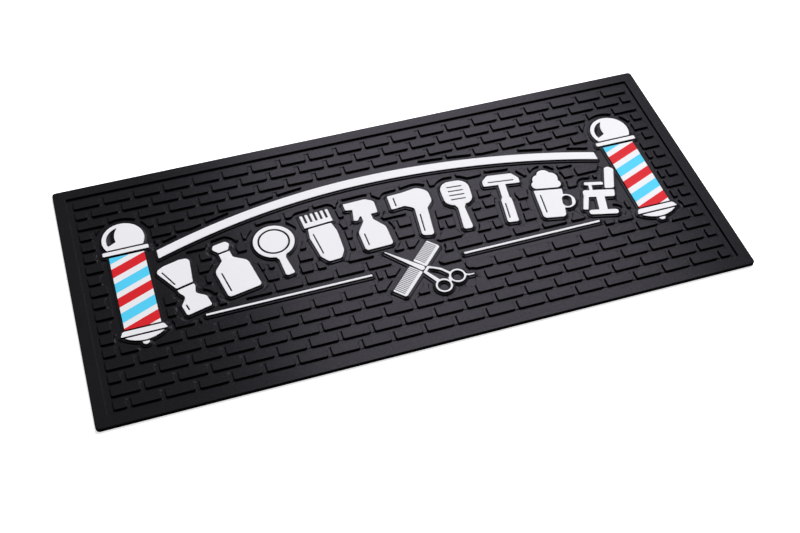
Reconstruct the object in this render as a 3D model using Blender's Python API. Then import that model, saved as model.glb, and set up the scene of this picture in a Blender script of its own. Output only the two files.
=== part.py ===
"""Barber station counter mat: black soft PVC base with raised colour inlays.

Frame: X along the long side, Y towards the back edge, Z up.
The origin is the centre of the underside.  Outlines are worked out in millimetres.
"""
import math

import bpy
import numpy as np
from mathutils import Vector
from mathutils.geometry import delaunay_2d_cdt

MM = 0.001

# Mat
MAT_LENGTH = 450.0
MAT_WIDTH = 203.0
MAT_CORNER = 2.6
RIM_WIDTH = 8.4
FIELD_CORNER = 1.0

# Heights above the underside
FIELD_TOP = 1.4
RIM_TOP = 3.0
LIP_TOP = 2.3
PEDESTAL_TOP = 2.7
SEAT_GAP = 0.3
INLAY_TOP = 3.3

# Brick relief
BRICK_LENGTH = 18.2
BRICK_DEPTH = 7.2
BRICK_PITCH = 21.38
BRICK_START = -212.2
BRICK_END = 212.2
HALF_SHIFT = 11.2
ROW_PITCH = 10.13
FIRST_ROW = 82.0
ROWS = 18
SMALLEST_BRICK = 5.0
ODD_BRICKS = ((12, 17.75, 33.5), (14, -3.9, 4.3))

# Low border round each inlay, and the bare strip between the inlays and the bricks
LIP = 1.6
CLEARANCE = 5.0
UNDERLINE_CLEARANCE = 3.4

# Emblem layout
EMBLEM_X = -1.05
EMBLEM_Y = 0.4
POLE_OFFSET = 182.85
ARCH_HALF = 162.6
ARCH_RISE = 25.8
ARCH_APEX = 53.5
ARCH_DEPTH = 7.45
ARCH_SWAY = 0.7
UNDERLINE_DEPTH = 1.75
TOOTH_PITCH = 1.51
TOOTH_ROOT = -2.9
SLIT_WIDTH = 0.6
FIGURE_SPACING = 33.4
FIGURE_APEX = 9.4
FIGURE_RADIUS = 640.0

# Shape quality
ARC_ERROR = 0.05
SEAT_ERROR = 0.16
SLIVER = 0.002
STRAIGHT = 0.004
STRIPE_GAP = 0.3


# ---------------------------------------------------------------- outlines

def arc(cx, cy, radius, start, end):
    """Points on an arc; angles in degrees, counter-clockwise when end > start."""
    step = 2 * math.acos(max(0.0, 1 - ARC_ERROR / radius))
    sweep = math.radians(end - start)
    count = max(1, math.ceil(abs(sweep) / step))
    first = math.radians(start)
    return [(cx + radius * math.cos(first + sweep * i / count),
             cy + radius * math.sin(first + sweep * i / count)) for i in range(count + 1)]


def circle(cx, cy, radius):
    return arc(cx, cy, radius, 0, 360)[:-1]


def arc_through(a, b, c):
    """Arc from a through b to c."""
    ax, ay = a
    bx, by = b
    cx, cy = c
    d = 2 * (ax * (by - cy) + bx * (cy - ay) + cx * (ay - by))
    sa = ax * ax + ay * ay
    sb = bx * bx + by * by
    sc = cx * cx + cy * cy
    ux = (sa * (by - cy) + sb * (cy - ay) + sc * (ay - by)) / d
    uy = (sa * (cx - bx) + sb * (ax - cx) + sc * (bx - ax)) / d
    radius = math.hypot(ax - ux, ay - uy)
    angles = [math.degrees(math.atan2(y - uy, x - ux)) for x, y in (a, b, c)]
    to_b = (angles[1] - angles[0]) % 360
    to_c = (angles[2] - angles[0]) % 360
    sweep = to_c if to_b < to_c else to_c - 360
    return arc(ux, uy, radius, angles[0], angles[0] + sweep)


def rounded(*corners):
    """Closed outline through corners (x, y, radius), each corner rounded to its radius."""
    points = []
    count = len(corners)
    for i in range(count):
        px, py = corners[i - 1][:2]
        x, y, radius = corners[i]
        nx, ny = corners[(i + 1) % count][:2]
        if radius <= 0:
            points.append((x, y))
            continue
        ax, ay = px - x, py - y
        bx, by = nx - x, ny - y
        la = math.hypot(ax, ay)
        lb = math.hypot(bx, by)
        ax, ay, bx, by = ax / la, ay / la, bx / lb, by / lb
        half = math.acos(max(-1.0, min(1.0, ax * bx + ay * by))) / 2
        reach = min(radius / math.tan(half), 0.49 * la, 0.49 * lb)
        radius = reach * math.tan(half)
        mx, my = ax + bx, ay + by
        ml = math.hypot(mx, my)
        ox = x + mx / ml * radius / math.sin(half)
        oy = y + my / ml * radius / math.sin(half)
        start = math.degrees(math.atan2(y + ay * reach - oy, x + ax * reach - ox))
        end = math.degrees(math.atan2(y + by * reach - oy, x + bx * reach - ox))
        sweep = (end - start + 180) % 360 - 180
        points += arc(ox, oy, radius, start, start + sweep)
    return points


def box(x0, y0, x1, y1, radius=0.0):
    return rounded((x0, y0, radius), (x1, y0, radius), (x1, y1, radius), (x0, y1, radius))


def tapered(ax, ay, ra, bx, by, rb):
    """Two end circles joined by their outer tangents."""
    along = math.degrees(math.atan2(by - ay, bx - ax))
    lean = math.degrees(math.asin((rb - ra) / math.hypot(bx - ax, by - ay)))
    first = arc(ax, ay, ra, along + 90 + lean, along + 270 - lean)
    second = arc(bx, by, rb, along - 90 - lean, along + 90 + lean)
    return first + second


def slot(ax, ay, bx, by, width=1.0):
    """Narrow straight groove with square ends."""
    length = math.hypot(bx - ax, by - ay)
    nx = -(by - ay) / length * width / 2
    ny = (bx - ax) / length * width / 2
    return [(ax - nx, ay - ny), (bx - nx, by - ny), (bx + nx, by + ny), (ax + nx, ay + ny)]


def toothed(x0, x1, low, root, tip, teeth, gap):
    """Plate with a row of square teeth along its upper edge."""
    pitch = (x1 - x0 + gap) / teeth
    points = [(x0, low), (x1, low)]
    for i in reversed(range(teeth)):
        left = x0 + i * pitch
        right = left + pitch - gap
        points += [(right, root), (right, tip), (left, tip), (left, root)]
    return points[:2] + [p for p in points[3:-1]]


def placed(outline, x, y, degrees=0.0):
    c = math.cos(math.radians(degrees))
    s = math.sin(math.radians(degrees))
    return [(x + c * u - s * v, y + s * u + c * v) for u, v in outline]


def area(outline):
    total = 0.0
    for (ax, ay), (bx, by) in zip(outline, outline[1:] + outline[:1]):
        total += ax * by - bx * ay
    return total / 2


def counter_clockwise(outline):
    """Drop doubled points and make the outline run counter-clockwise."""
    clean = []
    for point in outline:
        if not clean or math.dist(point, clean[-1]) > 0.02:
            clean.append(point)
    if math.dist(clean[0], clean[-1]) < 0.02:
        clean.pop()
    return clean if area(clean) > 0 else clean[::-1]


def grown(outline, distance):
    """The outline moved outwards; sharp outer corners are rounded."""
    points = []
    count = len(outline)
    for i in range(count):
        px, py = outline[i - 1]
        x, y = outline[i]
        nx, ny = outline[(i + 1) % count]
        first = math.atan2(y - py, x - px)
        second = math.atan2(ny - y, nx - x)
        turn = (second - first + math.pi) % (2 * math.pi) - math.pi
        start = first - math.pi / 2
        if turn * distance < 0 or abs(turn) < 0.6:
            reach = distance / math.cos(turn / 2)
            angle = start + turn / 2
            points.append((x + reach * math.cos(angle), y + reach * math.sin(angle)))
            continue
        steps = math.ceil(abs(turn) / 0.9)
        for k in range(steps + 1):
            angle = start + turn * k / steps
            points.append((x + distance * math.cos(angle), y + distance * math.sin(angle)))
    return points


def thinned(outline, error):
    """The outline without the points whose loss moves it less than the error."""
    points = list(outline)
    while len(points) > 4:
        losses = []
        for i in range(len(points)):
            ax, ay = points[i - 1]
            x, y = points[i]
            bx, by = points[(i + 1) % len(points)]
            doubled = abs((bx - ax) * (y - ay) - (by - ay) * (x - ax))
            losses.append(doubled / max(math.dist((ax, ay), (bx, by)), 0.01))
        least = min(losses)
        if least > error:
            break
        points.pop(losses.index(least))
    return points


def clipped(outline, a, b, c):
    """The part of a convex outline where a*x + b*y <= c."""
    points = []
    for (px, py), (qx, qy) in zip(outline, outline[1:] + outline[:1]):
        dp = a * px + b * py - c
        dq = a * qx + b * qy - c
        if dp <= 0:
            points.append((px, py))
        if dp * dq < 0:
            t = dp / (dp - dq)
            points.append((px + t * (qx - px), py + t * (qy - py)))
    return points


# ---------------------------------------------------------------- shapes

class Shape:
    """Area made of added outlines less cut outlines."""

    def __init__(self, add, cut=()):
        self.add = [counter_clockwise(o) for o in add]
        self.cut = [counter_clockwise(o) for o in cut]

    def placed(self, x, y, degrees=0.0):
        add = [placed(o, x, y, degrees) for o in self.add]
        return Shape(add, [placed(o, x, y, degrees) for o in self.cut])

    def grown(self, distance, error):
        bigger = Shape([])
        bigger.add = [thinned(grown(o, distance), error) for o in self.add]
        for outline in self.cut:
            rim = sum(math.dist(a, b) for a, b in zip(outline, outline[1:] + outline[:1]))
            if 2 * area(outline) / rim > 1.6 * distance:
                bigger.cut.append(thinned(grown(outline, -distance), error))
        return bigger

    def filled(self):
        """The shape without its narrow grooves and with plainer curves."""
        solid = Shape([])
        solid.add = [thinned(o, SEAT_ERROR) for o in self.add]
        for outline in self.cut:
            rim = sum(math.dist(a, b) for a, b in zip(outline, outline[1:] + outline[:1]))
            if 2 * area(outline) / rim > 3.0:
                solid.cut.append(thinned(outline, SEAT_ERROR))
        return solid

    def outlines(self):
        return self.add + self.cut

    def holds(self, points):
        inside = np.zeros(len(points), bool)
        for outline in self.add:
            inside |= winding(outline, points) > 0
        for outline in self.cut:
            inside &= winding(outline, points) <= 0
        return inside


def winding(outline, points):
    """Winding number of a closed outline about each point."""
    a = np.array(outline)
    b = np.roll(a, -1, axis=0)
    result = np.zeros(len(points), int)
    low = a.min(axis=0)
    high = a.max(axis=0)
    near = np.all((points >= low) & (points <= high), axis=1)
    p = points[near]
    if not len(p):
        return result
    ay, by, py = a[:, 1][None], b[:, 1][None], p[:, 1][:, None]
    side = (b[:, 0] - a[:, 0])[None] * (py - ay) - (p[:, 0][:, None] - a[:, 0][None]) * (by - ay)
    up = (ay <= py) & (by > py) & (side > 0)
    down = (ay > py) & (by <= py) & (side < 0)
    result[near] = up.sum(axis=1) - down.sum(axis=1)
    return result


def triangulated(points, edges):
    """Counter-clockwise triangles of the plane that keep every edge."""
    found = delaunay_2d_cdt([Vector(p) for p in points], edges, [], 0, 1e-4)
    return np.array([tuple(v) for v in found[0]]), [tuple(face) for face in found[2]]


def loops_to_edges(outlines):
    points = []
    edges = []
    for outline in outlines:
        first = len(points)
        points += outline
        count = len(outline)
        edges += [(first + i, first + (i + 1) % count) for i in range(count)]
    return points, edges


def edge_owners(faces):
    owner = {}
    for number, face in enumerate(faces):
        for i in range(3):
            owner[(face[i], face[(i + 1) % 3])] = number
    return owner


def level_map(outlines, height_at):
    """Plane cut along every outline, each triangle with its height."""
    points, edges = loops_to_edges(outlines)
    flat, faces = triangulated(points, edges)
    heights = height_at(flat[np.array(faces)].mean(axis=1))
    owner = edge_owners(faces)
    beside = {}
    for number, face in enumerate(faces):
        corners = flat[list(face)]
        sides = np.linalg.norm(corners - np.roll(corners, -1, axis=0), axis=1)
        a, b = corners[1] - corners[0], corners[2] - corners[0]
        longest = int(np.argmax(sides))
        if abs(a[0] * b[1] - a[1] * b[0]) < SLIVER * sides[longest]:
            beside[number] = owner.get((face[(longest + 1) % 3], face[longest]))
    for number in beside:
        path = [number]
        while path[-1] in beside and beside[path[-1]] not in path:
            path.append(beside[path[-1]])
        heights[number] = 0.0 if path[-1] is None else heights[path[-1]]
    return flat, faces, heights


def simplified(level):
    """The same heights with as few triangles as their borders allow."""
    flat, faces, heights = level
    owner = edge_owners(faces)
    following = {}
    for (i, j), number in owner.items():
        other = owner.get((j, i))
        low = 0.0 if other is None else heights[other]
        if heights[number] > low:
            following.setdefault(i, {})[j] = (heights[number], low)
    before = {}
    for i, ends in following.items():
        for j in ends:
            before.setdefault(j, set()).add(i)
    for i in sorted(following):
        if len(following[i]) != 1 or len(before[i]) != 1:
            continue
        start = min(before[i])
        end, levels = next(iter(following[i].items()))
        if start == end or following[start][i] != levels or end in following[start]:
            continue
        a, b, c = flat[start], flat[i], flat[end]
        off = abs((c[0] - a[0]) * (b[1] - a[1]) - (c[1] - a[1]) * (b[0] - a[0])) / math.dist(a, c)
        if off < STRAIGHT:
            del following[start][i]
            following[start][end] = levels
            following[i] = {}
            before[end].discard(i)
            before[end].add(start)
    borders = {(i, j): levels for i, ends in following.items() for j, levels in ends.items()}
    used = sorted({i for edge in borders for i in edge})
    number = {old: new for new, old in enumerate(used)}
    edges = [(number[i], number[j]) for i, j in borders]
    new_flat, new_faces = triangulated([tuple(flat[i]) for i in used], edges)
    key = {tuple(np.round(point, 3)): i for i, point in enumerate(new_flat)}
    place = {i: key[tuple(np.round(flat[i], 3))] for i in used}
    known = {}
    for (i, j), (high, low) in borders.items():
        known[(place[i], place[j])] = high
        known[(place[j], place[i])] = low
    return new_flat, new_faces, flooded(new_faces, known)


def flooded(faces, known):
    """Heights spread over the triangles from the border edges."""
    owner = edge_owners(faces)
    heights = np.full(len(faces), -1.0)
    todo = []
    for edge, height in known.items():
        number = owner.get(edge)
        if number is not None and heights[number] < 0:
            heights[number] = height
            todo.append(number)
    for number in todo:
        face = faces[number]
        for i in range(3):
            edge = (face[i], face[(i + 1) % 3])
            other = owner.get(edge[::-1])
            if edge not in known and other is not None and heights[other] < 0:
                heights[other] = heights[number]
                todo.append(other)
    return heights


def solid_from_levels(name, level, base, material):
    """Closed solid from base up to each triangle's height, with upright walls between heights."""
    flat, faces, heights = level
    verts = []
    number = {}

    def vertex(i, z):
        key = (i, round(z, 4))
        if key not in number:
            number[key] = len(verts)
            verts.append((flat[i][0] * MM, flat[i][1] * MM, z * MM))
        return number[key]

    side = {}
    polygons = []
    for face, height in zip(faces, heights):
        if height <= base:
            continue
        polygons.append([vertex(i, height) for i in face])
        polygons.append([vertex(i, base) for i in reversed(face)])
        for i in range(3):
            side[(face[i], face[(i + 1) % 3])] = height
    for (i, j), high in side.items():
        low = side.get((j, i), base)
        if high > low:
            polygons.append([vertex(i, low), vertex(j, low), vertex(j, high), vertex(i, high)])
    mesh = bpy.data.meshes.new(name)
    mesh.from_pydata(verts, [], polygons)
    mesh.validate()
    mesh.materials.append(material)
    part = bpy.data.objects.new(name, mesh)
    bpy.context.scene.collection.objects.link(part)
    return part


def flat_underside(part, outline):
    """Replace the underside triangles by one face over the outer outline."""
    mesh = part.data
    low = min(v.co.z for v in mesh.vertices)
    keep = []
    for polygon in mesh.polygons:
        if all(mesh.vertices[i].co.z < low + 1e-7 for i in polygon.vertices):
            continue
        keep.append(list(polygon.vertices))
    rim = []
    for x, y in outline:
        target = Vector((x * MM, y * MM, low))
        rim.append(min(range(len(mesh.vertices)), key=lambda i: (mesh.vertices[i].co - target).length))
    keep.append(rim[::-1])
    used = sorted({i for polygon in keep for i in polygon})
    number = {old: new for new, old in enumerate(used)}
    verts = [tuple(mesh.vertices[i].co) for i in used]
    material = mesh.materials[0]
    new = bpy.data.meshes.new(part.name)
    new.from_pydata(verts, [], [[number[i] for i in polygon] for polygon in keep])
    new.materials.append(material)
    part.data = new
    bpy.data.meshes.remove(mesh)
    new.name = part.name


def inlay(name, shape, material):
    """Flat colour piece on its pedestal."""
    def height_at(points):
        return np.where(shape.holds(points), INLAY_TOP, 0.0)

    level = simplified(level_map(shape.outlines(), height_at))
    return solid_from_levels(name, level, PEDESTAL_TOP + SEAT_GAP, material)


# ---------------------------------------------------------------- emblem

def ball():
    """Pole ball, cut flat at the collar, with a crescent recess on its left."""
    radius = 14.55
    low = -7.8
    edge = math.degrees(math.asin(low / radius))
    outline = arc(0, 0, radius, edge, 180 - edge)
    outer = arc(0, 0, 11.5, 102, 201)
    inner = arc_through((-5.2, -1.2), (-5.5, 4.1), outer[0])
    return Shape([outline], [outer + inner[:-1]])


def pole_stripes():
    """Slanted stripes of the pole sleeve, from the top down: (colour, shape)."""
    x0, x1, y0, y1 = -11.95, 11.95, -32.7, 29.9
    rise = 9.6 / (x1 - x0)
    bands = (("blue", 7.9), ("white", 4.8), ("red", 7.6), ("white", 5.3))
    top = 32.3
    stripes = []
    half = STRIPE_GAP / 2 * math.hypot(1, rise)
    while top + rise * (x1 - x0) > y0 + 0.5:
        for colour, width in bands:
            upper = top - half
            lower = top - width + half
            top -= width
            outline = [(x0, y0), (x1, y0), (x1, y1), (x0, y1)]
            outline = clipped(outline, -rise, 1, upper - rise * x0)
            if len(outline) > 2:
                outline = clipped(outline, rise, -1, rise * x0 - lower)
            if len(outline) > 2 and area(outline) > 1.0:
                stripes.append((colour, Shape([outline])))
    return stripes


def pole():
    """All pieces of one pole: (name, colour, shape), origin on the pole's centre line."""
    pieces = [("ball", "white", ball().placed(0, 44.5)),
              ("collar", "white", Shape([box(-15.65, 32.0, 15.65, 35.55, 0.9)]))]
    for number, (colour, shape) in enumerate(pole_stripes(), 1):
        pieces.append(("stripe_%02d_%s" % (number, colour), colour, shape))
    flange = rounded((-15.35, -38.15, 0.5), (15.35, -38.15, 0.5), (13.5, -33.85, 2.0), (-13.5, -33.85, 2.0))
    bowl = arc_through((-13.05, -39.3), (0, -43.9), (13.05, -39.3))
    tip = arc_through((-2.4, -45.0), (0, -47.5), (2.4, -45.0))
    pieces.append(("flange", "white", Shape([flange])))
    pieces.append(("bowl", "white", Shape([bowl])))
    pieces.append(("tip", "white", Shape([tip])))
    return pieces


def arch():
    """Curved bar over the figures, cut upright at its ends; it swings up on the left and down on the right."""
    low_apex = ARCH_APEX - ARCH_DEPTH
    ends = ARCH_APEX - ARCH_RISE
    upper = arc_through((ARCH_HALF, ends), (0, ARCH_APEX), (-ARCH_HALF, ends))
    lower = arc_through((-ARCH_HALF, ends - ARCH_DEPTH), (0, low_apex), (ARCH_HALF, ends - ARCH_DEPTH))
    swayed = [(x, y - ARCH_SWAY * math.sin(math.pi * x / ARCH_HALF)) for x, y in upper + lower]
    return Shape([swayed])


def comb_slits(first, count):
    """Slits between the teeth, from the spine out through the toothed edge."""
    centres = [first + k * TOOTH_PITCH for k in range(count)]
    return [box(x - SLIT_WIDTH / 2, TOOTH_ROOT, x + SLIT_WIDTH / 2, 5.6) for x in centres]


def comb_and_scissors():
    """Comb crossed by scissors: (name, colour, shape)."""
    turned = 45
    centre = (2.1, -38.9)
    far_end = rounded((4.5, -5.1, 1.0), (25.1, -5.1, 1.6), (25.1, 5.1, 0.7), (4.5, 5.1, 0.7))
    near_end = rounded((-25.1, -5.1, 1.6), (-0.9, -5.1, 1.0), (-0.9, 5.1, 0.7), (-25.1, 5.1, 0.7))
    upper = Shape([far_end], comb_slits(6.88, 12)).placed(*centre, turned)
    lower = Shape([near_end], comb_slits(-23.23, 15)).placed(*centre, turned)
    blade = Shape([tapered(-14.4, -19.5, 0.45, 5.5, -39.5, 2.05)])
    bars = [tapered(9.7, -40.2, 0.95, 17.0, -43.9, 0.95), tapered(17.0, -43.9, 0.95, 21.8, -48.9, 0.95),
            tapered(6.2, -43.7, 0.95, 9.7, -40.2, 0.95), tapered(6.7, -44.1, 1.15, 12.4, -53.2, 1.5),
            tapered(31.3, -52.8, 0.9, 33.8, -54.3, 0.7), tapered(33.8, -54.3, 0.7, 37.5, -54.4, 0.55),
            tapered(20.1, -52.8, 0.6, 20.7, -55.9, 0.6)]
    rings = [circle(26.4, -52.8, 5.8), circle(15.0, -58.2, 5.8)]
    holes = [circle(26.4, -52.8, 4.4), circle(15.0, -58.2, 4.4)]
    return [("comb_upper", "white", upper), ("comb_lower", "white", lower),
            ("scissors_blade", "white", blade), ("scissors_handles", "white", Shape(bars + rings, holes))]


def shaving_brush():
    head = rounded((-6, 1, 0.8), (6, 1, 0.8), (12.5, 21, 4), (6, 23, 6), (-6, 23, 6), (-12.5, 21, 4))
    handle = rounded((-9, -23, 1.5), (9, -23, 1.5), (9, -14, 3), (3.5, -8.5, 3), (6, -3, 1.2), (6, -0.6, 0.8),
                     (-6, -0.6, 0.8), (-6, -3, 1.2), (-3.5, -8.5, 3), (-9, -14, 3))
    return [("bristles", Shape([head], [slot(-5.2, 4.5, -8.6, 18.5)])),
            ("handle", Shape([handle], [slot(-6, -19.5, -6, -14.5)]))]


def tonic_bottle():
    body = rounded((-12, -23, 2.5), (12, -23, 2.5), (12, 1, 6), (4, 8, 2), (4, 14, 0.6), (-4, 14, 0.6),
                   (-4, 8, 2), (-12, 1, 6))
    stopper = rounded((-3.5, 15.4, 0.5), (3.5, 15.4, 0.5), (6.5, 20, 2.5), (4.5, 23, 2), (-4.5, 23, 2),
                      (-6.5, 20, 2.5))
    return [("body", Shape([body], [slot(-8.4, -19, -8.4, -2)])), ("stopper", Shape([stopper]))]


def hand_mirror():
    frame = arc(0, 8.6, 14.4, -76, 256)
    grip = rounded((-3.2, -23, 1.6), (3.2, -23, 1.6), (2.4, -8, 1), (4.5, -4.4, 0), (-4.5, -4.4, 0),
                   (-2.4, -8, 1))
    return [("frame", Shape([frame, grip], [circle(0, 8.6, 11.2)])), ("glass", Shape([circle(0, 8.6, 9.9)]))]


def clipper():
    body = rounded((-4.5, -23, 3), (4.5, -23, 3), (8.5, -17, 5), (10, 1, 4), (8.5, 9.4, 1), (-8.5, 9.4, 1),
                   (-10, 1, 4), (-8.5, -17, 5))
    head = toothed(-10.5, 10.5, 10.8, 15.0, 22.5, 6, 1.7)
    return [("body", Shape([body], [slot(-5.8, -15, -6.6, 4)])), ("head", Shape([head]))]


def spray_bottle():
    body = rounded((-10, -23, 2.5), (10, -23, 2.5), (10, -6, 6), (3.6, 3, 2), (3.6, 9, 0), (-3.6, 9, 0),
                   (-3.6, 3, 2), (-10, -6, 6))
    head = rounded((-4.5, 8, 0.8), (8.6, 8, 0.8), (9.5, 19, 4), (4, 22.6, 3), (-12.6, 22.6, 0.8),
                   (-12.6, 16.6, 0.8), (-7.6, 15.6, 1), (-9.8, 5.6, 0.8), (-7.2, 4.8, 0.8))
    return [("figure", Shape([body, head], [slot(-6.4, -19, -6.4, -8)]))]


def hair_dryer():
    shell = rounded((-15, 7, 1), (-5, 8.2, 3), (1, 4.5, 3), (-1, -21.4, 2.5), (7.4, -23, 2.5), (10, 2.4, 3),
                    (15, 8, 5), (15, 18, 7), (8, 23, 8), (-3, 21, 3), (-15, 20, 1))
    return [("figure", Shape([shell], [slot(-11, 9.5, -11, 17.5), slot(1.9, -18, 3.2, -2)]))]


def paddle_brush():
    paddle = rounded((-10, 0, 7), (10, 0, 7), (11, 23, 8), (-11, 23, 8))
    grip = rounded((-3.4, -23, 2), (3.4, -23, 2), (2.4, -3, 1), (5, 2, 0), (-5, 2, 0), (-2.4, -3, 1))
    rows = [slot(-5.5, 5.5 + 4 * i, 5.5, 5.5 + 4 * i) for i in range(4)]
    return [("figure", Shape([paddle, grip], rows))]


def safety_razor():
    head = rounded((-13.5, 13, 1), (13.5, 13, 1), (13.5, 18, 3), (9, 23, 3), (-9, 23, 3), (-13.5, 18, 3))
    grip = rounded((-4, -23, 1.5), (4, -23, 1.5), (4, -2, 1.5), (2.6, 1, 1), (2.6, 14, 0), (-2.6, 14, 0),
                   (-2.6, 1, 1), (-4, -2, 1.5))
    return [("figure", Shape([head, grip], [slot(-9.5, 16.4, 9.5, 16.4), slot(-1.6, -19, -1.6, -5)]))]


def shaving_mug():
    cup = rounded((-10.5, -23, 3), (5.5, -23, 3), (8, 3.4, 1), (-13, 3.4, 1))
    ear = circle(8.6, -8.5, 6.6)
    foam = [tapered(-9.5, 8.8, 3.8, 4.5, 8.8, 3.8), circle(-6.5, 13.5, 5.2), circle(1.6, 14.6, 5.6),
            circle(-2.6, 17.8, 5.2)]
    return [("cup", Shape([cup, ear], [tapered(9.2, -6.8, 3.4, 9.0, -10.2, 3.4), slot(-8.8, -1, -7.4, -18)])),
            ("foam", Shape(foam))]


def barber_chair():
    back = rounded((4.5, 1.6, 1), (11.5, 1.6, 2), (14.5, 20.5, 2), (10.5, 23, 2), (7.6, 21.5, 2))
    seat = rounded((-12, -6.4, 2), (10.6, -6.4, 2), (11.2, 0.3, 1), (-12, 0.3, 2))
    arm = tapered(-8.4, 6.6, 1.5, 2.8, 6.6, 1.5)
    post = rounded((-3, -19.5, 0), (3, -19.5, 0), (3, -6, 0), (-3, -6, 0))
    foot = box(-10.5, -23, 10.5, -18.6, 2)
    rest = rounded((-14.5, -18.2, 1), (-10.8, -18.2, 1), (-8.4, -6, 0), (-12, -5, 1))
    link = slot(-5.6, 0, -5.6, 6, 2.4)
    return [("back", Shape([back])), ("seat", Shape([seat, arm, post, foot, rest, link]))]


FIGURES = (("brush", shaving_brush), ("bottle", tonic_bottle), ("mirror", hand_mirror), ("clipper", clipper),
           ("spray", spray_bottle), ("dryer", hair_dryer), ("paddle", paddle_brush), ("razor", safety_razor),
           ("mug", shaving_mug), ("chair", barber_chair))


def figures():
    """Ten barber tools in a row on an arc: (name, colour, shape)."""
    pieces = []
    for i, (name, make) in enumerate(FIGURES):
        x = (i - (len(FIGURES) - 1) / 2) * FIGURE_SPACING
        y = FIGURE_APEX - FIGURE_RADIUS + math.sqrt(FIGURE_RADIUS ** 2 - x * x)
        tilt = -math.degrees(math.asin(x / FIGURE_RADIUS))
        for detail, shape in make():
            pieces.append(("figure_%02d_%s_%s" % (i + 1, name, detail), "white",
                           shape.placed(EMBLEM_X + x, EMBLEM_Y + y, tilt)))
    return pieces


def emblem():
    """Every inlay: (name, colour, shape), in mat coordinates."""
    pieces = []
    for side, sign in (("left", -1), ("right", 1)):
        for name, colour, shape in pole():
            shape = shape.placed(EMBLEM_X + sign * POLE_OFFSET, EMBLEM_Y)
            pieces.append(("pole_%s_%s" % (side, name), colour, shape))
    pieces.append(("arch_bar", "white", arch().placed(EMBLEM_X - 0.2, EMBLEM_Y)))
    pieces += figures()
    for side, left, right, low in (("left", -142.1, -28.6, -36.8), ("right", 37.3, 138.8, -36.65)):
        bar = Shape([box(left, low, right, low + UNDERLINE_DEPTH, 0.5)])
        pieces.append(("underline_" + side, "white", bar.placed(EMBLEM_X, EMBLEM_Y)))
    for name, colour, shape in comb_and_scissors():
        pieces.append((name, colour, shape.placed(EMBLEM_X, EMBLEM_Y)))
    return pieces


def seats(pieces):
    """Areas covered by the inlays, each with the brick-free area round it; all stripes of a pole share one."""
    covered = []
    for name, _, shape in pieces:
        seat = shape.filled()
        if "underline" in name:
            corners = np.array(seat.add[0])
            low = corners.min(axis=0) - UNDERLINE_CLEARANCE
            high = corners.max(axis=0) + UNDERLINE_CLEARANCE
            covered.append((seat, Shape([box(*low, *high)])))
        elif "stripe" not in name:
            covered.append((seat, seat.grown(CLEARANCE, 0.4)))
    for sign in (-1, 1):
        sleeve = Shape([box(-11.95, -32.7, 11.95, 29.9)]).placed(EMBLEM_X + sign * POLE_OFFSET, EMBLEM_Y)
        covered.append((sleeve, sleeve.grown(CLEARANCE, 0.4)))
    return covered


# ---------------------------------------------------------------- base

def bricks():
    """Brick outlines; every second row is shifted, and two odd bricks by the comb replace the regular ones."""
    outlines = []
    for row in range(ROWS):
        low = FIRST_ROW - row * ROW_PITCH
        odd = [(left, right) for number, left, right in ODD_BRICKS if number == row]
        shift = HALF_SHIFT if row % 2 else 0.0
        start = BRICK_START + shift - (BRICK_PITCH if shift else 0.0)
        spans = list(odd)
        while start < BRICK_END:
            left = max(start, BRICK_START)
            right = min(start + BRICK_LENGTH, BRICK_END)
            replaced = any(left < odd_right and odd_left < right for odd_left, odd_right in odd)
            if right - left > SMALLEST_BRICK and not replaced:
                spans.append((left, right))
            start += BRICK_PITCH
        outlines += [box(left, low, right, low + BRICK_DEPTH) for left, right in spans]
    return outlines


def base_levels(pieces):
    """Height of the base over the whole mat."""
    areas = seats(pieces)
    pedestals = [seat for seat, _ in areas]
    lips = [seat.grown(LIP, 0.16) for seat in pedestals]
    clear = [strip for _, strip in areas]
    half_x = MAT_LENGTH / 2
    half_y = MAT_WIDTH / 2
    mat = Shape([box(-half_x, -half_y, half_x, half_y, MAT_CORNER)])
    inner_x = half_x - RIM_WIDTH
    inner_y = half_y - RIM_WIDTH
    field = Shape([box(-inner_x, -inner_y, inner_x, inner_y, FIELD_CORNER)])
    brick = Shape(bricks())

    def any_holds(shapes, points):
        inside = np.zeros(len(points), bool)
        for shape in shapes:
            inside |= shape.holds(points)
        return inside

    def height_at(points):
        height = np.where(mat.holds(points), RIM_TOP, 0.0)
        height[field.holds(points)] = FIELD_TOP
        height[brick.holds(points)] = RIM_TOP
        height[any_holds(clear, points)] = FIELD_TOP
        height[any_holds(lips, points)] = LIP_TOP
        height[any_holds(pedestals, points)] = PEDESTAL_TOP
        return height

    outlines = mat.outlines() + field.outlines() + brick.outlines()
    for shape in pedestals + lips + clear:
        outlines += shape.outlines()
    level = level_map(outlines, height_at)
    remove_scraps(level)
    return simplified(level), mat


def remove_scraps(level):
    """Lower the pieces of cut bricks that are too small to mould."""
    flat, faces, heights = level
    owner = edge_owners(faces)
    seen = set()
    for start in range(len(faces)):
        if start in seen or heights[start] != RIM_TOP:
            continue
        group = [start]
        seen.add(start)
        for number in group:
            face = faces[number]
            for i in range(3):
                other = owner.get((face[(i + 1) % 3], face[i]))
                if other is not None and other not in seen and heights[other] == RIM_TOP:
                    seen.add(other)
                    group.append(other)
        corners = flat[np.array([faces[n] for n in group])]
        a = corners[:, 1] - corners[:, 0]
        b = corners[:, 2] - corners[:, 0]
        size = np.abs(a[:, 0] * b[:, 1] - a[:, 1] * b[:, 0]).sum() / 2
        if size < SMALLEST_BRICK:
            heights[group] = FIELD_TOP


def mat_base(pieces, material):
    level, mat = base_levels(pieces)
    part = solid_from_levels("mat_base", level, 0.0, material)
    flat_underside(part, mat.outlines()[0])
    return part


# ---------------------------------------------------------------- build

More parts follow.
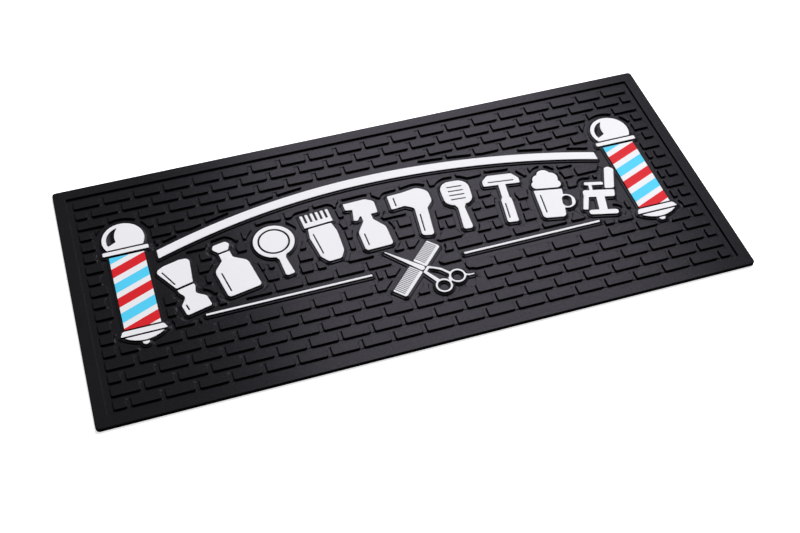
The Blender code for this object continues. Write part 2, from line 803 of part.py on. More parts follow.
def plastic(name, colour, roughness):
    material = bpy.data.materials.new(name)
    material.use_nodes = True
    shader = material.node_tree.nodes["Principled BSDF"]
    shader.inputs["Base Color"].default_value = (*colour, 1.0)
    shader.inputs["Roughness"].default_value = roughness
    shader.inputs["Metallic"].default_value = 0.0
    material.diffuse_color = (*colour, 1.0)
    return material


COLOURS = {"black": ((0.012, 0.012, 0.013), 0.5), "white": ((0.8, 0.8, 0.81), 0.45),
           "red": ((0.7, 0.02, 0.03), 0.45), "blue": ((0.1, 0.55, 0.85), 0.45)}


def main():
    for part in list(bpy.data.objects):
        bpy.data.objects.remove(part, do_unlink=True)
    pieces = emblem()
    mat_base(pieces, plastic("mat_base", *COLOURS["black"]))
    for name, colour, shape in pieces:
        inlay(name, shape, plastic(name, *COLOURS[colour]))


main()
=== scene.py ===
"""Looks of the barber station counter mat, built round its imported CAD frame.

Every piece follows the CAD: outlines are read from the CAD nodes, smoothed, given rounded
edges and soft PVC materials.  Lengths inside this script are millimetres until a mesh is made.
"""
import math

import bmesh
import bpy
import numpy as np
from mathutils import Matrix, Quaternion, Vector
from mathutils.geometry import delaunay_2d_cdt


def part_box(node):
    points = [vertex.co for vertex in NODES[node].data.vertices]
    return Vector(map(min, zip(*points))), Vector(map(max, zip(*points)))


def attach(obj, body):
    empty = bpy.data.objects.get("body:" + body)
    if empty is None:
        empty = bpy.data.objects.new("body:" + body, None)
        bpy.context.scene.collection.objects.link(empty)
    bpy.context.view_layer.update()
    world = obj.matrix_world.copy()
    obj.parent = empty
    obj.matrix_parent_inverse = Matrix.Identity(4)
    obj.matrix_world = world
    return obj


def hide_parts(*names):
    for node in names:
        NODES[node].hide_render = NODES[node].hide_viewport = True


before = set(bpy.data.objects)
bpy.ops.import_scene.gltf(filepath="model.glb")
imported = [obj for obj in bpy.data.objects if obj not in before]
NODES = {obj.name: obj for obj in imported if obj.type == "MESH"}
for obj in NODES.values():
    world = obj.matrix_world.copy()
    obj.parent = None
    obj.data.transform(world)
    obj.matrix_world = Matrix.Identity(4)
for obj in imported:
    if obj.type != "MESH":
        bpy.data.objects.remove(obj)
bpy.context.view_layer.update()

MM = 0.001

# Heights above the underside; the black pedestals under the inlays end just above the rim,
# because a step's section is chosen by its height
FIELD_TOP = 1.4
RIM_TOP = 3.0
LIP_TOP = 2.3
SEAT_TOP = 3.01
INLAY_TOP = 3.3
INLAY_FOOT = SEAT_TOP - 0.02

# Brick relief
MAT_CORNER = 2.6
FIELD_CORNER = 1.2
RIM_WIDTH = 8.4
BRICK_LENGTH = 18.2
BRICK_DEPTH = 7.2
BRICK_PITCH = 21.38
BRICK_INSET = 4.4
HALF_SHIFT = 11.2
ROW_PITCH = 10.13
FIRST_ROW = 82.0
ROWS = 18
BRICK_CORNER = 1.0

# Bricks that break the rhythm: row, left end, right end
ODD_BRICKS = ((12, 17.75, 33.5), (14, -3.9, 4.3))

# Cut bricks below this area or this mean width are left out
SMALLEST_PIECE = 5.0
THINNEST_PIECE = 1.0

# Low lip round each inlay and the bare strip out to the bricks; LOOSE is how far a drawn
# outline may stray from its true distance
LIP = 1.6
CLEARANCE = 5.0
UNDERLINE_CLEARANCE = 3.4
LOOSE = 0.1

# Openings of an inlay narrower than this are grooves, which don't reach the base
GROOVE_WIDTH = 3.0

# Gap between the CAD's stripes, closed here
STRIPE_GAP = 0.3

# Moulded edges of the base: plan corners, fillet at the foot, draft and top radius; less draft
# and a smaller radius on the low lip
STEP_CORNER = 0.5
FILLET = 0.1
STEP_DRAFT = 0.35
STEP_CROWN = 0.3
LIP_DRAFT = 0.15
LIP_CROWN = 0.2
RIM_CROWN = 0.4
BOTTOM_EDGE = [(-0.25, 0.0), (-0.07, 0.07), (0.0, 0.25)]
SEAT_FILLET = 0.06
SEAT_EDGE = 0.04

# Moulded edges of the inlays: plan corners and top radius, smaller on stripes and comb teeth
INLAY_CORNER = 0.35
INLAY_CROWN = 0.2
FINE_CORNER = 0.1
FINE_CROWN = 0.06

# Smoothing: slivers and nearly straight points are dropped; a side this many times its neighbour
# is a straight one; curve handles are a share of the side; chords stay this close to their curve
SLIVER = 0.002
STRAIGHT = 0.002
NEAREST_POINTS = 0.1
LONG_SIDE = 2.4
HANDLE = 0.34
CHORD_ERROR = 0.01

# Corners: the cut-back per radius, the sharpest turn it counts and its share of a side
CUT_BACK = 1.25
SHARPEST_TURN = 2.4
SIDE_SHARE = 0.45


# ---------------------------------------------------------------- plane geometry

def area(outline):
    """Enclosed area, positive when the outline runs counter-clockwise."""
    a = np.array(outline)
    b = np.roll(a, -1, axis=0)
    return float((a[:, 0] * b[:, 1] - b[:, 0] * a[:, 1]).sum() / 2)


def turn_at(before, here, after):
    """Change of direction at a point, in radians, positive to the left."""
    first = math.atan2(here[1] - before[1], here[0] - before[0])
    second = math.atan2(after[1] - here[1], after[0] - here[0])
    return (second - first + math.pi) % (2 * math.pi) - math.pi


def without_straight_points(outline):
    """Drop points that lie on the line between their neighbours."""
    points = list(outline)
    i = 0
    while i < len(points) and len(points) > 3:
        a, b, c = points[i - 1], points[i], points[(i + 1) % len(points)]
        doubled = abs((c[0] - a[0]) * (b[1] - a[1]) - (c[1] - a[1]) * (b[0] - a[0]))
        if doubled < STRAIGHT * max(math.dist(a, c), 1e-6):
            points.pop(i)
        else:
            i += 1
    return points


def smooth(outline, corner=62.0, fine=7.0):
    """Redraw the arcs of a coarse outline as fine curves; straight sides and sharp corners stay."""
    points = [np.array(p, float) for p in outline]
    count = len(points)
    edges = [points[(i + 1) % count] - points[i] for i in range(count)]
    lengths = [float(np.linalg.norm(e)) for e in edges]
    units = [e / l for e, l in zip(edges, lengths)]
    sharp = [abs(math.degrees(turn_at(points[i - 1], points[i], points[(i + 1) % count]))) > corner
             for i in range(count)]
    tangents = []
    for i in range(count):
        before, after = lengths[i - 1], lengths[i]
        if before > LONG_SIDE * after:
            tangent = units[i - 1]
        elif after > LONG_SIDE * before:
            tangent = units[i]
        else:
            tangent = units[i - 1] * after + units[i] * before
        tangents.append(tangent / np.linalg.norm(tangent))
    result = []
    for i in range(count):
        j = (i + 1) % count
        start, end = points[i], points[j]
        unit, length = units[i], lengths[i]
        if sharp[i] and sharp[j]:
            result.append(start)
            continue
        leave = 2 * unit.dot(tangents[j]) * unit - tangents[j] if sharp[i] else tangents[i]
        arrive = 2 * unit.dot(tangents[i]) * unit - tangents[i] if sharp[j] else tangents[j]
        bend = math.degrees(abs(math.atan2(leave[0] * arrive[1] - leave[1] * arrive[0], leave.dot(arrive))))
        by_chord = math.ceil(math.sqrt(math.radians(bend) * length / 8 / CHORD_ERROR))
        steps = max(1, math.ceil(bend / fine), by_chord)
        reach = length * HANDLE
        for k in range(steps):
            t = k / steps
            s = 1 - t
            result.append(s ** 3 * start + 3 * s * s * t * (start + leave * reach)
                          + 3 * s * t * t * (end - arrive * reach) + t ** 3 * end)
    return [tuple(p) for p in result]


def cut_back(turn, radius, before, after):
    """Length taken off each side of a corner to round it."""
    wanted = CUT_BACK * radius * math.tan(min(abs(turn), SHARPEST_TURN) / 2)
    return min(wanted, SIDE_SHARE * before, SIDE_SHARE * after)


def softened(outline, radius, corner=24.0, steps=5):
    """Round every sharp corner; the cut-back runs along the outline, over short sides too."""
    points = np.array(outline, float)
    count = len(points)
    sides = np.linalg.norm(np.roll(points, -1, axis=0) - points, axis=1)
    along = np.concatenate([[0.0], np.cumsum(sides)])
    total = along[-1]
    turns = [turn_at(points[i - 1], points[i], points[(i + 1) % count]) for i in range(count)]
    corners = [i for i in range(count) if abs(math.degrees(turns[i])) > corner]
    if not corners:
        return [tuple(p) for p in points]

    def at(distance):
        distance %= total
        i = min(int(np.searchsorted(along, distance, side="right")) - 1, count - 1)
        t = (distance - along[i]) / max(sides[i], 1e-9)
        return points[i] * (1 - t) + points[(i + 1) % count] * t

    result = []
    for k, i in enumerate(corners):
        before = (along[i] - along[corners[k - 1]]) % total or total
        after = (along[corners[(k + 1) % len(corners)]] - along[i]) % total or total
        reach = cut_back(turns[i], radius, before, after)
        start, end = at(along[i] - reach), at(along[i] + reach)
        for step in range(steps + 1):
            t = step / steps
            result.append(tuple((1 - t) ** 2 * start + 2 * t * (1 - t) * points[i] + t * t * end))
        following = corners[(k + 1) % len(corners)]
        next_after = (along[corners[(k + 2) % len(corners)]] - along[following]) % total or total
        stop = cut_back(turns[following], radius, after, next_after)
        j = (i + 1) % count
        while True:
            gone = (along[j] - along[i]) % total
            if gone == 0 or gone >= after - stop - 1e-6:
                break
            if gone > reach + 1e-6:
                result.append(tuple(points[j]))
            j = (j + 1) % count
    return result


def without_near_points(outline, spacing):
    """Drop points that crowd closer than the spacing."""
    points = []
    for point in outline:
        if not points or math.dist(point, points[-1]) >= spacing:
            points.append(point)
    while len(points) > 3 and math.dist(points[0], points[-1]) < spacing:
        points.pop()
    return points


def shifted(outline, distance):
    """Each point moved outwards by the distance; the number of points stays."""
    points = np.array(outline)
    ahead = np.roll(points, -1, axis=0) - points
    ahead /= np.maximum(np.linalg.norm(ahead, axis=1, keepdims=True), 1e-9)
    behind = np.roll(ahead, 1, axis=0)
    normal = np.stack([ahead[:, 1] + behind[:, 1], -ahead[:, 0] - behind[:, 0]], axis=1)
    square = np.maximum((normal ** 2).sum(axis=1, keepdims=True), 1.2)
    return points + normal * (2 * distance / square)


def grown(outline, distance, fine=0.25):
    """The outline moved outwards, with round joins at its outer corners."""
    points = []
    count = len(outline)
    for i in range(count):
        px, py = outline[i - 1]
        x, y = outline[i]
        nx, ny = outline[(i + 1) % count]
        turn = turn_at((px, py), (x, y), (nx, ny))
        start = math.atan2(y - py, x - px) - math.pi / 2
        if turn * distance < 0 or abs(turn) < fine:
            reach = distance / max(math.cos(turn / 2), 0.2)
            angle = start + turn / 2
            points.append((x + reach * math.cos(angle), y + reach * math.sin(angle)))
            continue
        steps = math.ceil(abs(turn) / fine)
        for k in range(steps + 1):
            angle = start + turn * k / steps
            points.append((x + distance * math.cos(angle), y + distance * math.sin(angle)))
    return points


def rounded_box(x0, y0, x1, y1, radius, steps=5):
    """Rectangle with rounded corners, counter-clockwise."""
    points = []
    for cx, cy, first in ((x1 - radius, y0 + radius, -90), (x1 - radius, y1 - radius, 0),
                          (x0 + radius, y1 - radius, 90), (x0 + radius, y0 + radius, 180)):
        for k in range(steps + 1):
            angle = math.radians(first + 90 * k / steps)
            points.append((cx + radius * math.cos(angle), cy + radius * math.sin(angle)))
    return points


def winding(outline, points):
    """How often the outline runs round each point, counter-clockwise."""
    a = np.array(outline)
    b = np.roll(a, -1, axis=0)
    result = np.zeros(len(points), int)
    near = np.all((points >= a.min(axis=0)) & (points <= a.max(axis=0)), axis=1)
    p = points[near]
    if len(p):
        ay, by, py = a[:, 1][None], b[:, 1][None], p[:, 1][:, None]
        side = (b[:, 0] - a[:, 0])[None] * (py - ay) - (p[:, 0][:, None] - a[:, 0][None]) * (by - ay)
        up = (ay <= py) & (by > py) & (side > 0)
        down = (ay > py) & (by <= py) & (side < 0)
        result[near] = up.sum(axis=1) - down.sum(axis=1)
    return result


def covered(outlines, points):
    """True for the points inside at least one outline."""
    inside = np.zeros(len(points), bool)
    for outline in outlines:
        inside |= winding(outline, points) > 0
    return inside


def distances(outlines, points):
    """Distance from each point to the nearest outline; large where none is within the clearance."""
    nearest = np.full(len(points), 10 * CLEARANCE)
    for outline in outlines:
        a = np.array(outline)
        side = np.roll(a, -1, axis=0) - a
        near = np.all((points > a.min(axis=0) - CLEARANCE) & (points < a.max(axis=0) + CLEARANCE), axis=1)
        if not near.any():
            continue
        from_a = points[near][:, None] - a
        share = np.clip((from_a * side).sum(axis=2) / (side ** 2).sum(axis=1), 0, 1)
        gap = np.linalg.norm(from_a - share[..., None] * side, axis=2).min(axis=1)
        nearest[near] = np.minimum(nearest[near], gap)
    return nearest


def joined(outlines):
    """All the outlines' points in one list, and the edges (i, j) between them."""
    points = []
    edges = []
    for outline in outlines:
        first = len(points)
        count = len(outline)
        points += [tuple(p) for p in outline]
        edges += [(first + i, first + (i + 1) % count) for i in range(count)]
    return points, edges


def triangulated(points, edges):
    """Delaunay triangles of the points that keep the given edges."""
    found = delaunay_2d_cdt([Vector(p) for p in points], edges, [], 0, 1e-4)
    return np.array([tuple(v) for v in found[0]]), [tuple(face) for face in found[2]]


def edge_owners(faces):
    """Directed edge -> number of the face it belongs to."""
    owner = {}
    for number, face in enumerate(faces):
        for i in range(len(face)):
            owner[(face[i], face[(i + 1) % len(face)])] = number
    return owner


def level_map(outlines, height_at):
    """The plane cut along every outline, each triangle with its height."""
    flat, faces = triangulated(*joined(outlines))
    heights = height_at(flat[np.array(faces)].mean(axis=1))
    owner = edge_owners(faces)
    # A sliver's centre may fall on either side of an outline, so it takes its neighbour's height
    beside = {}
    for number, face in enumerate(faces):
        corners = flat[list(face)]
        sides = np.linalg.norm(corners - np.roll(corners, -1, axis=0), axis=1)
        a, b = corners[1] - corners[0], corners[2] - corners[0]
        longest = int(np.argmax(sides))
        if abs(a[0] * b[1] - a[1] * b[0]) < SLIVER * sides[longest]:
            beside[number] = owner.get((face[(longest + 1) % 3], face[longest]))
    for number in beside:
        path = [number]
        while path[-1] in beside and beside[path[-1]] not in path:
            path.append(beside[path[-1]])
        heights[number] = 0.0 if path[-1] is None else heights[path[-1]]
    return flat, faces, heights


def chained(edges):
    """Closed loops from directed edges (i, j)."""
    following = {}
    for i, j in edges:
        following.setdefault(i, []).append(j)
    loops = []
    while following:
        start = next(iter(following))
        loop = [start]
        while True:
            ends = following[loop[-1]]
            end = ends.pop()
            if not ends:
                del following[loop[-1]]
            if end == start or end not in following:
                break
            loop.append(end)
        if len(loop) > 2:
            loops.append(loop)
    return loops


# ---------------------------------------------------------------- reading the CAD

def top_outlines(node):
    """Outlines of a flat node's top face, in millimetres: counter-clockwise outside, clockwise holes."""
    mesh = node.data
    co = np.array([v.co for v in mesh.vertices]) / MM
    high = co[:, 2].max()
    key = [tuple(np.round(p[:2], 3)) for p in co]
    edges = set()
    for polygon in mesh.polygons:
        if all(co[i][2] > high - 0.01 for i in polygon.vertices):
            ring = [key[i] for i in polygon.vertices]
            edges |= {(ring[i], ring[(i + 1) % len(ring)]) for i in range(len(ring))}
    borders = [(a, b) for a, b in sorted(edges) if (b, a) not in edges]
    return [without_straight_points(loop) for loop in chained(borders)]


# ---------------------------------------------------------------- meshes

class Builder:
    """Collects faces; corners in the same place are shared."""

    def __init__(self):
        self.verts = []
        self.faces = []
        self.number = {}

    def vertex(self, x, y, z):
        key = (x, y, z)
        if key not in self.number:
            self.number[key] = len(self.verts)
            self.verts.append((x * MM, y * MM, z * MM))
        return self.number[key]

    def face(self, corners):
        ring = []
        for corner in corners:
            index = self.vertex(*corner)
            if index not in ring:
                ring.append(index)
        if len(ring) > 2:
            self.faces.append(ring)

    def wall(self, outline, profile):
        """Side surface of a raised area: profile is (outward shift, height) from low to high."""
        rings = [([tuple(p) for p in shifted(outline, out).tolist()], z) for out, z in profile]
        count = len(outline)
        for (low, z0), (high, z1) in zip(rings, rings[1:]):
            for i in range(count):
                j = (i + 1) % count
                self.face([(*low[i], z0), (*low[j], z0), (*high[j], z1), (*high[i], z1)])
        return rings[0][0], rings[-1][0]

    def flats(self, rings, z, up=True):
        """Flat surface at height z; each ring has the surface on its left."""
        points, edges = joined(rings)
        found = delaunay_2d_cdt([Vector(p) for p in points], edges, [], 0, 1e-4, True)
        flat = [tuple(v) for v in found[0]]
        faces = [tuple(face) for face in found[2]]
        owner = edge_owners(faces)
        # Crossing an edge adds or takes away one turn of its ring; faces inside a turn are kept
        crossing = {}
        for (a, b), originals in zip(found[1], found[4]):
            for original in originals:
                i, j = edges[original]
                along = sum((flat[b][k] - flat[a][k]) * (points[j][k] - points[i][k]) for k in (0, 1))
                sign = 1 if along > 0 else -1
                crossing[(a, b)] = crossing.get((a, b), 0) + sign
                crossing[(b, a)] = crossing.get((b, a), 0) - sign
        turns = {}
        todo = []
        for edge, number in owner.items():
            if edge[::-1] not in owner and number not in turns:
                turns[number] = crossing.get(edge, 0)
                todo.append(number)
        for number in todo:
            face = faces[number]
            for i in range(3):
                edge = (face[i], face[(i + 1) % 3])
                other = owner.get(edge[::-1])
                if other is not None and other not in turns:
                    turns[other] = turns[number] - crossing.get(edge, 0)
                    todo.append(other)
        exact = {new: points[originals[0]] for new, originals in enumerate(found[3]) if originals}
        for number in sorted(number for number, turn in turns.items() if turn > 0):
            corners = [(*exact.get(i, flat[i]), z) for i in faces[number]]
            self.face(corners if up else corners[::-1])

    def object(self, name, material):
        mesh = bpy.data.meshes.new(name)
        mesh.from_pydata(self.verts, [], self.faces)
        work = bmesh.new()
        work.from_mesh(mesh)
        bmesh.ops.remove_doubles(work, verts=work.verts, dist=0.001 * MM)
        work.to_mesh(mesh)
        work.free()
        mesh.validate()
        mesh.polygons.foreach_set("use_smooth", [True] * len(mesh.polygons))
        mesh.materials.append(material)
        piece = bpy.data.objects.new(name, mesh)
        bpy.context.scene.collection.objects.link(piece)
        weighted = piece.modifiers.new("even_flats", "WEIGHTED_NORMAL")
        weighted.weight = 100
        weighted.thresh = 0.0
        return piece


def rounded_top(high, crown, steps=4):
    """Section of a top edge, rounded from the wall to the flat."""
    angles = [math.radians(90 * k / steps) for k in range(steps + 1)]
    return [(crown * (math.cos(angle) - 1), high - crown * (1 - math.sin(angle))) for angle in angles]


def step_section(low, high, draft, crown):
    """Section of a moulded step: small fillet at the foot, slight draft, rounded top edge."""
    bend = FILLET * 0.35
    foot = [(FILLET + draft, low), (bend + draft, low + bend), (draft, low + FILLET)]
    return foot + rounded_top(high, crown)


# ---------------------------------------------------------------- materials

# Noise scales per metre: slow clouds, pores and fine grain; the grain's depth is in metres
CLOUD_SCALE = 22.0
PORE_SCALE = 620.0
GRAIN_SCALE = 2600.0
GRAIN_DEPTH = 0.00004

# Most of the noise lies between these values
NOISE_LOW = 0.3
NOISE_HIGH = 0.7


def principled(name):
    """New material with its node tree and shader."""
    material = bpy.data.materials.new(name)
    material.use_nodes = True
    tree = material.node_tree
    return material, tree, tree.nodes["Principled BSDF"]


def noise(tree, coordinates, scale, detail, rough):
    """Smooth noise between 0 and 1; a larger scale is finer."""
    texture = tree.nodes.new("ShaderNodeTexNoise")
    texture.inputs["Scale"].default_value = scale
    texture.inputs["Detail"].default_value = detail
    texture.inputs["Roughness"].default_value = rough
    tree.links.new(coordinates, texture.inputs["Vector"])
    return texture.outputs["Fac"]


def mapped(tree, value, low, high):
    """Noise stretched so that most of it lies between low and high."""
    node = tree.nodes.new("ShaderNodeMapRange")
    node.inputs["From Min"].default_value = NOISE_LOW
    node.inputs["From Max"].default_value = NOISE_HIGH
    node.inputs["To Min"].default_value = low
    node.inputs["To Max"].default_value = high
    tree.links.new(value, node.inputs["Value"])
    return node.outputs["Result"]


def soft_pvc(name, colour, roughness, variation, grain, specular=0.5):
    """Moulded soft PVC: fine grain, slow colour and gloss variation, faint sheen."""
    material, tree, shader = principled(name)
    place = tree.nodes.new("ShaderNodeTexCoord").outputs["Object"]
    slow = noise(tree, place, CLOUD_SCALE, detail=4.0, rough=0.6)
    fine = noise(tree, place, GRAIN_SCALE, detail=2.0, rough=0.55)
    pores = noise(tree, place, PORE_SCALE, detail=3.0, rough=0.6)
    mix = tree.nodes.new("ShaderNodeMix")
    mix.data_type = "RGBA"
    mix.inputs["A"].default_value = (*[c * (1 - variation) for c in colour], 1)
    mix.inputs["B"].default_value = (*[min(1.0, c * (1 + variation)) for c in colour], 1)
    tree.links.new(mapped(tree, slow, 0.0, 1.0), mix.inputs["Factor"])
    tree.links.new(mix.outputs["Result"], shader.inputs["Base Color"])
    gloss = mapped(tree, pores, roughness - 0.05, roughness + 0.06)
    tree.links.new(gloss, shader.inputs["Roughness"])
    shader.inputs["Specular IOR Level"].default_value = specular
    shader.inputs["Sheen Weight"].default_value = 0.02
    shader.inputs["Sheen Roughness"].default_value = 0.4
    bump = tree.nodes.new("ShaderNodeBump")
    bump.inputs["Strength"].default_value = grain
    bump.inputs["Distance"].default_value = GRAIN_DEPTH
    total = tree.nodes.new("ShaderNodeMath")
    total.operation = "ADD"
    tree.links.new(fine, total.inputs[0])
    tree.links.new(pores, total.inputs[1])
    tree.links.new(total.outputs[0], bump.inputs["Height"])
    tree.links.new(bump.outputs["Normal"], shader.inputs["Normal"])
    return material


BLACK = soft_pvc("black_soft_pvc", (0.0042, 0.0039, 0.0046), roughness=0.22, variation=0.12, grain=0.15)
WHITE = soft_pvc("white_soft_pvc", (0.85, 0.85, 0.845), roughness=0.4, variation=0.012, grain=0.2,
                 specular=0.2)
RED = soft_pvc("red_soft_pvc", (0.71, 0.014, 0.02), roughness=0.38, variation=0.03, grain=0.3)
BLUE = soft_pvc("blue_soft_pvc", (0.09, 0.655, 0.92), roughness=0.38, variation=0.03, grain=0.3)


# ---------------------------------------------------------------- inlays

def is_stripe(name):
    """True for the slanted stripes of the poles."""
    return "_stripe_" in name


def stripe_outline(name):
    """A stripe's outline with its slanted sides moved out by half the gap, so neighbours meet."""
    outline = top_outlines(NODES[name])[0]
    lines = []
    count = len(outline)
    for i in range(count):
        a, b = np.array(outline[i]), np.array(outline[(i + 1) % count])
        unit = (b - a) / np.linalg.norm(b - a)
        if min(abs(unit)) > 0.05:
            a = a + np.array((unit[1], -unit[0])) * (STRIPE_GAP / 2)
        lines.append((a, unit))
    corners = []
    for i in range(count):
        (p, u), (q, v) = lines[i - 1], lines[i]
        t = ((q - p)[0] * v[1] - (q - p)[1] * v[0]) / (u[0] * v[1] - u[1] * v[0])
        corners.append(tuple(p + u * t))
    return corners


def inlay_outlines():
    """Fine outlines of every inlay: name -> list of outlines, holes clockwise."""
    result = {}
    for name in sorted(NODES):
        if name == "mat_base":
            continue
        if is_stripe(name):
            result[name] = [stripe_outline(name)]
        else:
            result[name] = [smooth(outline) for outline in top_outlines(NODES[name])]
    return result


def make_inlay(name, outlines):
    """One raised colour inlay on its pedestal, with softened corners and top edge."""
    material = WHITE
    slot = "white_pvc"
    if name.endswith("_red"):
        material, slot = RED, "red_pvc"
    if name.endswith("_blue"):
        material, slot = BLUE, "blue_pvc"
    fine = is_stripe(name) or name.startswith("comb")
    corner = FINE_CORNER if fine else INLAY_CORNER
    crown = FINE_CROWN if fine else INLAY_CROWN
    builder = Builder()
    feet = []
    tops = []
    for outline in outlines:
        outline = softened(outline, corner)
        foot, top = builder.wall(outline, [(0.0, INLAY_FOOT)] + rounded_top(INLAY_TOP, crown, steps=3))
        feet.append(foot)
        tops.append(top)
    builder.flats(feet, INLAY_FOOT, up=False)
    builder.flats(tops, INLAY_TOP)
    piece = builder.object(name + "_pvc", material)
    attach(piece, "root")
    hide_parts(name)
    return piece


# ---------------------------------------------------------------- mat base

def brick_outlines(half_x):
    """Every second row is shifted; the odd bricks replace the regular ones they overlap."""
    low_x = -half_x + RIM_WIDTH + BRICK_INSET
    high_x = -low_x
    outlines = []
    for row in range(ROWS):
        low = FIRST_ROW - row * ROW_PITCH
        odd = [(left, right) for number, left, right in ODD_BRICKS if number == row]
        spans = list(odd)
        start = low_x + (HALF_SHIFT - BRICK_PITCH if row % 2 else 0.0)
        while start < high_x:
            left = max(start, low_x)
            right = min(start + BRICK_LENGTH, high_x)
            replaced = any(left < odd_right and odd_left < right for odd_left, odd_right in odd)
            if right - left > SMALLEST_PIECE and not replaced:
                spans.append((left, right))
            start += BRICK_PITCH
        outlines += [rounded_box(left, low, right, low + BRICK_DEPTH, BRICK_CORNER) for left, right in spans]
    return outlines


def mean_width(outline):
    """Twice the area over the length of the outline; negative for a clockwise hole."""
    edges = np.array(outline) - np.roll(np.array(outline), 1, axis=0)
    return 2 * area(outline) / np.linalg.norm(edges, axis=1).sum()


def is_wide(outline):
    """False for narrow grooves, which don't reach into the black base."""
    return abs(mean_width(outline)) > GROOVE_WIDTH


def is_scrap(outline):
    """True for bits of cut bricks too small or too thin to mould."""
    return 0 < area(outline) < SMALLEST_PIECE or 0 < mean_width(outline) < THINNEST_PIECE


def hull(outline):
    """The smallest convex outline round the points: the comb with its slits closed."""
    half = []
    for points in (sorted(outline), sorted(outline, reverse=True)):
        chain = []
        for point in points:
            while len(chain) > 1 and area([chain[-2], chain[-1], point]) <= 0:
                chain.pop()
            chain.append(point)
        half += chain[:-1]
    return half


def bounds_of(outline, margin=0.0):
    """Plain rectangle round an outline."""
    x0, y0 = np.min(outline, axis=0) - margin
    x1, y1 = np.max(outline, axis=0) + margin
    return [(x0, y0), (x1, y0), (x1, y1), (x0, y1)]


def seat_outlines(inlays):
    """Outlines of the black pedestals: solid ones, those of the underlines, and the openings."""
    solid = []
    bars = []
    openings = []
    sleeves = {}
    for name, outlines in inlays.items():
        if is_stripe(name):
            sleeves.setdefault(name.split("_stripe_")[0], []).extend(outlines[0])
        elif name.startswith("underline"):
            bars += outlines
        elif name.startswith("comb"):
            solid.append(hull(outlines[0]))
        else:
            solid += [o for o in outlines if area(o) > 0]
            openings += [o[::-1] for o in outlines if area(o) < 0 and is_wide(o)]
    solid += [bounds_of(corners) for corners in sleeves.values()]
    return solid, bars, openings


def base_section(below, top):
    """Section of a step of the base, from its foot to its top edge."""
    if below == 0:
        return BOTTOM_EDGE + rounded_top(top, RIM_CROWN)
    if top == SEAT_TOP:
        return [(SEAT_EDGE, below), (0.0, below + SEAT_FILLET), (0.0, top - SEAT_EDGE), (-SEAT_EDGE, top)]
    if top == LIP_TOP:
        return step_section(below, top, LIP_DRAFT, LIP_CROWN)
    return step_section(below, top, STEP_DRAFT, STEP_CROWN)


def make_base(inlays):
    """The black body: rim, field, bricks, and a lip and a pedestal under each inlay."""
    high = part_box("mat_base")[1]
    half_x, half_y = high.x / MM, high.y / MM
    field_x, field_y = half_x - RIM_WIDTH, half_y - RIM_WIDTH
    rim = rounded_box(-half_x, -half_y, half_x, half_y, MAT_CORNER, 8)
    field = rounded_box(-field_x, -field_y, field_x, field_y, FIELD_CORNER)
    bricks = brick_outlines(half_x)
    solid, bars, openings = seat_outlines(inlays)
    seats = solid + bars
    lips = [grown(o, LIP) for o in seats]
    lip_holes = [grown(o, -LIP) for o in openings]
    clear = [grown(o, CLEARANCE) for o in solid]
    strips = [bounds_of(o, UNDERLINE_CLEARANCE) for o in bars]

    def height_at(points):
        inside = covered(seats, points) & ~covered(openings, points)
        gap = distances(solid + openings, points)
        in_clear = covered(clear, points) & (gap < CLEARANCE + LOOSE) | (gap < CLEARANCE - LOOSE)
        gap = np.minimum(gap, distances(bars, points))
        in_lip = covered(lips, points) & ~covered(lip_holes, points)
        in_lip = in_lip & (gap < LIP + LOOSE) | (gap < LIP - LOOSE)
        height = np.where(covered([rim], points), RIM_TOP, 0.0)
        height[covered([field], points)] = FIELD_TOP
        height[covered(bricks, points)] = RIM_TOP
        height[in_clear | covered(strips, points)] = FIELD_TOP
        height[in_lip] = LIP_TOP
        height[inside] = SEAT_TOP
        return height

    outlines = [rim, field] + bricks + seats + openings + lips + lip_holes + clear + strips
    flat, faces, heights = level_map(outlines, height_at)
    owner = edge_owners(faces)
    steps = {}
    for (i, j), number in owner.items():
        other = owner.get((j, i))
        below = 0.0 if other is None else float(heights[other])
        if heights[number] > below:
            steps.setdefault((float(heights[number]), below), []).append((i, j))
    builder = Builder()
    rings = {}
    for (top, below), edges in sorted(steps.items()):
        for loop in chained(sorted(edges)):
            outline = without_near_points([tuple(flat[i]) for i in loop], NEAREST_POINTS)
            outline = without_straight_points(outline)
            if len(outline) < 4 or (top == RIM_TOP and is_scrap(outline)):
                continue
            foot, crown = builder.wall(softened(outline, STEP_CORNER), base_section(below, top))
            rings.setdefault(top, []).append(crown)
            rings.setdefault(below, []).append(foot[::-1])
    for z, group in rings.items():
        if z == 0:
            builder.flats([ring[::-1] for ring in group], 0.0, up=False)
        else:
            builder.flats(group, z)
    piece = builder.object("mat_base_pvc", BLACK)
    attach(piece, "root")
    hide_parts("mat_base")
    return piece


# ---------------------------------------------------------------- stage

# Lengths from here on are metres.  The floor glows a little, so that it reads as white paper
FLOOR_HALF = 6
FLOOR_DROP = 0.0002
FLOOR_ALBEDO = 0.93
FLOOR_GLOW = 0.75
FILL = 0.02
CAMERA_PLACE = (-0.1766, -0.5061, 0.6177)
CAMERA_TARGET = (-0.0086, -0.0313, 0.0)
CAMERA_ROLL = 1.926
CAMERA_LENS = 52.65
CENTRE = (0.0, 0.0, 0.0)


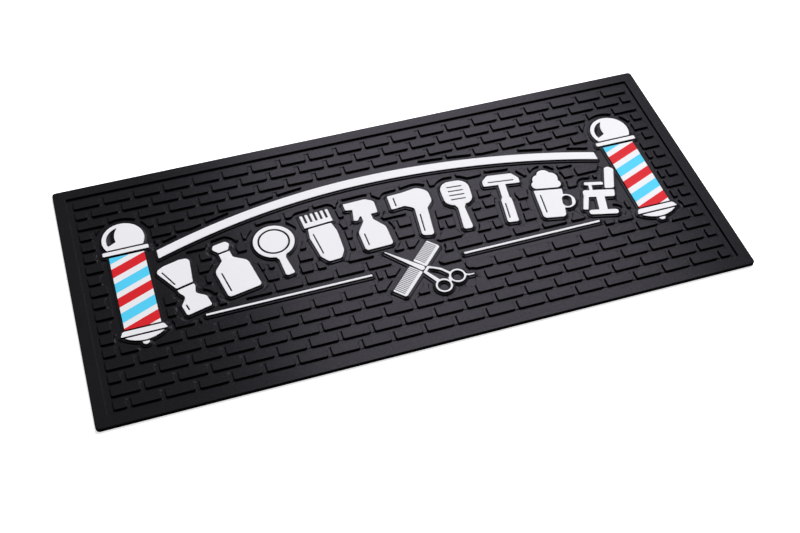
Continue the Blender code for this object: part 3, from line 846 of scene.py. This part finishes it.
def add_floor():
    """Wide pale floor that throws neither light nor reflections on the mat."""
    mesh = bpy.data.meshes.new("floor")
    corners = [(x * FLOOR_HALF, y * FLOOR_HALF, 0) for x, y in ((-1, -1), (1, -1), (1, 1), (-1, 1))]
    mesh.from_pydata(corners, [], [(0, 1, 2, 3)])
    floor = bpy.data.objects.new("floor", mesh)
    bpy.context.scene.collection.objects.link(floor)
    material, _, shader = principled("pale_floor")
    shader.inputs["Base Color"].default_value = (FLOOR_ALBEDO, FLOOR_ALBEDO, FLOOR_ALBEDO, 1)
    shader.inputs["Roughness"].default_value = 0.9
    shader.inputs["Specular IOR Level"].default_value = 0.1
    shader.inputs["Emission Color"].default_value = (1, 1, 1, 1)
    shader.inputs["Emission Strength"].default_value = FLOOR_GLOW
    mesh.materials.append(material)
    floor.location.z = -FLOOR_DROP
    floor.visible_glossy = False
    floor.visible_diffuse = False


def add_light(name, place, target, size, power, colour):
    """Rectangular soft light; the power is in watts."""
    data = bpy.data.lights.new(name, "AREA")
    data.shape = "RECTANGLE"
    data.size, data.size_y = size
    data.energy = power
    data.color = colour
    light = bpy.data.objects.new(name, data)
    light.location = place
    light.rotation_mode = "QUATERNION"
    light.rotation_quaternion = (Vector(target) - Vector(place)).to_track_quat("-Z", "Y")
    bpy.context.scene.collection.objects.link(light)
    return light


def aimed(azimuth, elevation, distance):
    """Place seen from the mat's centre at an azimuth from +Y towards +X and an elevation, in degrees."""
    a, e = math.radians(azimuth), math.radians(elevation)
    level = distance * math.cos(e)
    return (level * math.sin(a), level * math.cos(a), distance * math.sin(e))


def add_world():
    """Faint fill light on the mat; the camera itself sees a white backdrop."""
    world = bpy.data.worlds.new("studio")
    bpy.context.scene.world = world
    world.use_nodes = True
    tree = world.node_tree
    background = tree.nodes["Background"]
    background.inputs["Color"].default_value = (1, 1, 1, 1)
    path = tree.nodes.new("ShaderNodeLightPath")
    seen = tree.nodes.new("ShaderNodeMath")
    seen.operation = "MAXIMUM"
    tree.links.new(path.outputs["Is Camera Ray"], seen.inputs[0])
    seen.inputs[1].default_value = FILL
    tree.links.new(seen.outputs["Value"], background.inputs["Strength"])


def add_camera():
    """Camera above the near left side, rolled by a small angle."""
    data = bpy.data.cameras.new("camera")
    data.sensor_width = 36.0
    data.lens = CAMERA_LENS
    camera = bpy.data.objects.new("camera", data)
    bpy.context.scene.collection.objects.link(camera)
    place = Vector(CAMERA_PLACE)
    camera.location = place
    camera.rotation_mode = "QUATERNION"
    level = (Vector(CAMERA_TARGET) - place).to_track_quat("-Z", "Y")
    camera.rotation_quaternion = level @ Quaternion((0, 0, 1), math.radians(CAMERA_ROLL))
    bpy.context.scene.camera = camera


def add_lights():
    """Main light without a reflection, and two lights behind that give the mat its sheen."""
    above = add_light("softbox_above", place=aimed(azimuth=40, elevation=58, distance=3.0), target=CENTRE,
                      size=(1.35, 1.35), power=106, colour=(1.0, 1.0, 1.04))
    above.visible_glossy = False
    add_light("softbox_behind", place=(0.62, 1.4, 1.6), target=(0.62, 1.4, 0),
              size=(0.98, 1.2), power=5.1, colour=(1.05, 1.0, 1.18))
    behind = add_light("reflector_behind", place=aimed(azimuth=15, elevation=50, distance=2.6), target=CENTRE,
                       size=(3.6, 3.0), power=5.2, colour=(1.02, 1.0, 1.14))
    behind.visible_diffuse = False


inlays = inlay_outlines()
make_base(inlays)
for inlay_name, inlay_rings in inlays.items():
    make_inlay(inlay_name, inlay_rings)
add_floor()
add_world()
add_lights()
add_camera()
bpy.context.scene.view_settings.view_transform = "Standard"
